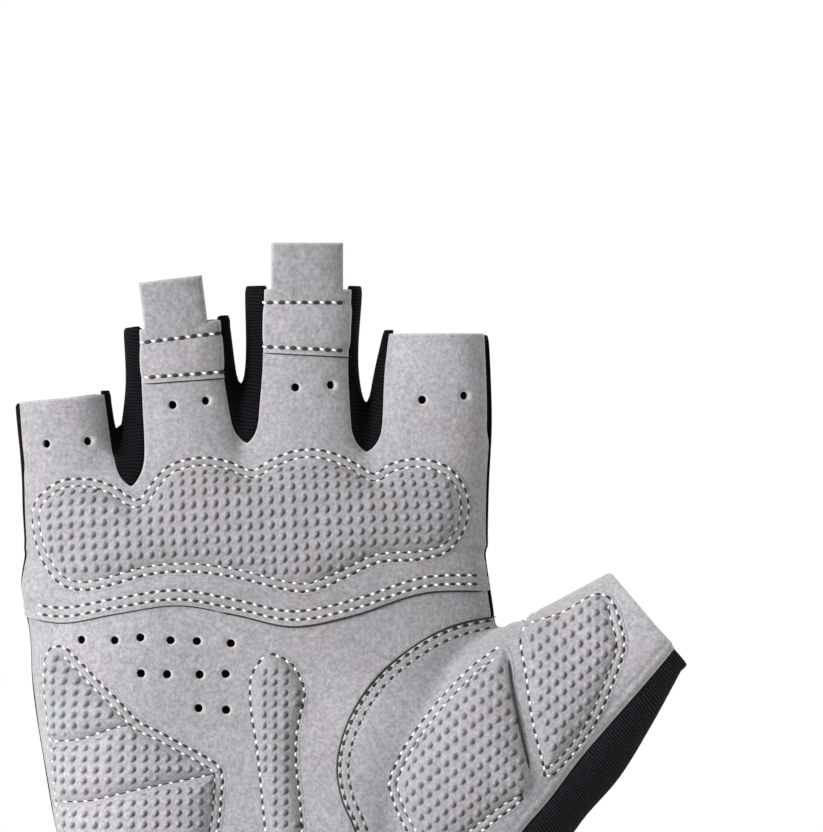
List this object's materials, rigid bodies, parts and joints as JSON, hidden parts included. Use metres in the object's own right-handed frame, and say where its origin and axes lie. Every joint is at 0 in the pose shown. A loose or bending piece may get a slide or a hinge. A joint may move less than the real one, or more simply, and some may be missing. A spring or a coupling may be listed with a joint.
{
  "type": "half-finger cycling glove",
  "caption": "Right-hand half-finger cycling glove in its worn shape, with a padded grey suede palm, black stretch back and fabric finger pulls.",
  "frame": {"origin": "centre of the wrist opening, in the plane of the cuff's lower edge", "axes": "+Z from the wrist to the fingertips, -Y out of the palm, +X towards the thumb"},
  "size_m": [0.1283, 0.0434, 0.1515],
  "materials": {
    "suede": "matte mottled grey microfibre suede",
    "pad_suede": "matte grey suede with raised round dots over foam",
    "pull_suede": "matte grey suede, coarser grain",
    "black_stretch": "matte black stretch knit",
    "black_knit": "matte black fine-ribbed knit with light flecks",
    "black_elastic": "matte black ribbed elastic",
    "black_lining": "matte black lining knit"
  },
  "bodies": {
    "root": {"upper_palm_panel": "suede", "lower_palm_panel": "suede", "thumb_palm_panel": "suede", "palm_lining": "black_lining", "back_panel": "black_stretch", "thumb_back_panel": "black_knit", "wrist_cuff": "black_elastic", "fourchette_pinky_ring": "black_stretch", "fourchette_ring_middle": "black_stretch", "fourchette_middle_index": "black_stretch", "knuckle_pad": "pad_suede", "heel_pad_upper": "pad_suede", "heel_pad_middle": "pad_suede", "heel_pad_lower": "pad_suede", "centre_pad": "pad_suede", "thenar_pad": "pad_suede", "thumb_pad": "pad_suede", "middle_pull_band": "pull_suede", "middle_pull_tab": "pull_suede", "ring_pull_band": "pull_suede", "ring_pull_tab": "pull_suede"}
  },
  "joints": []
}
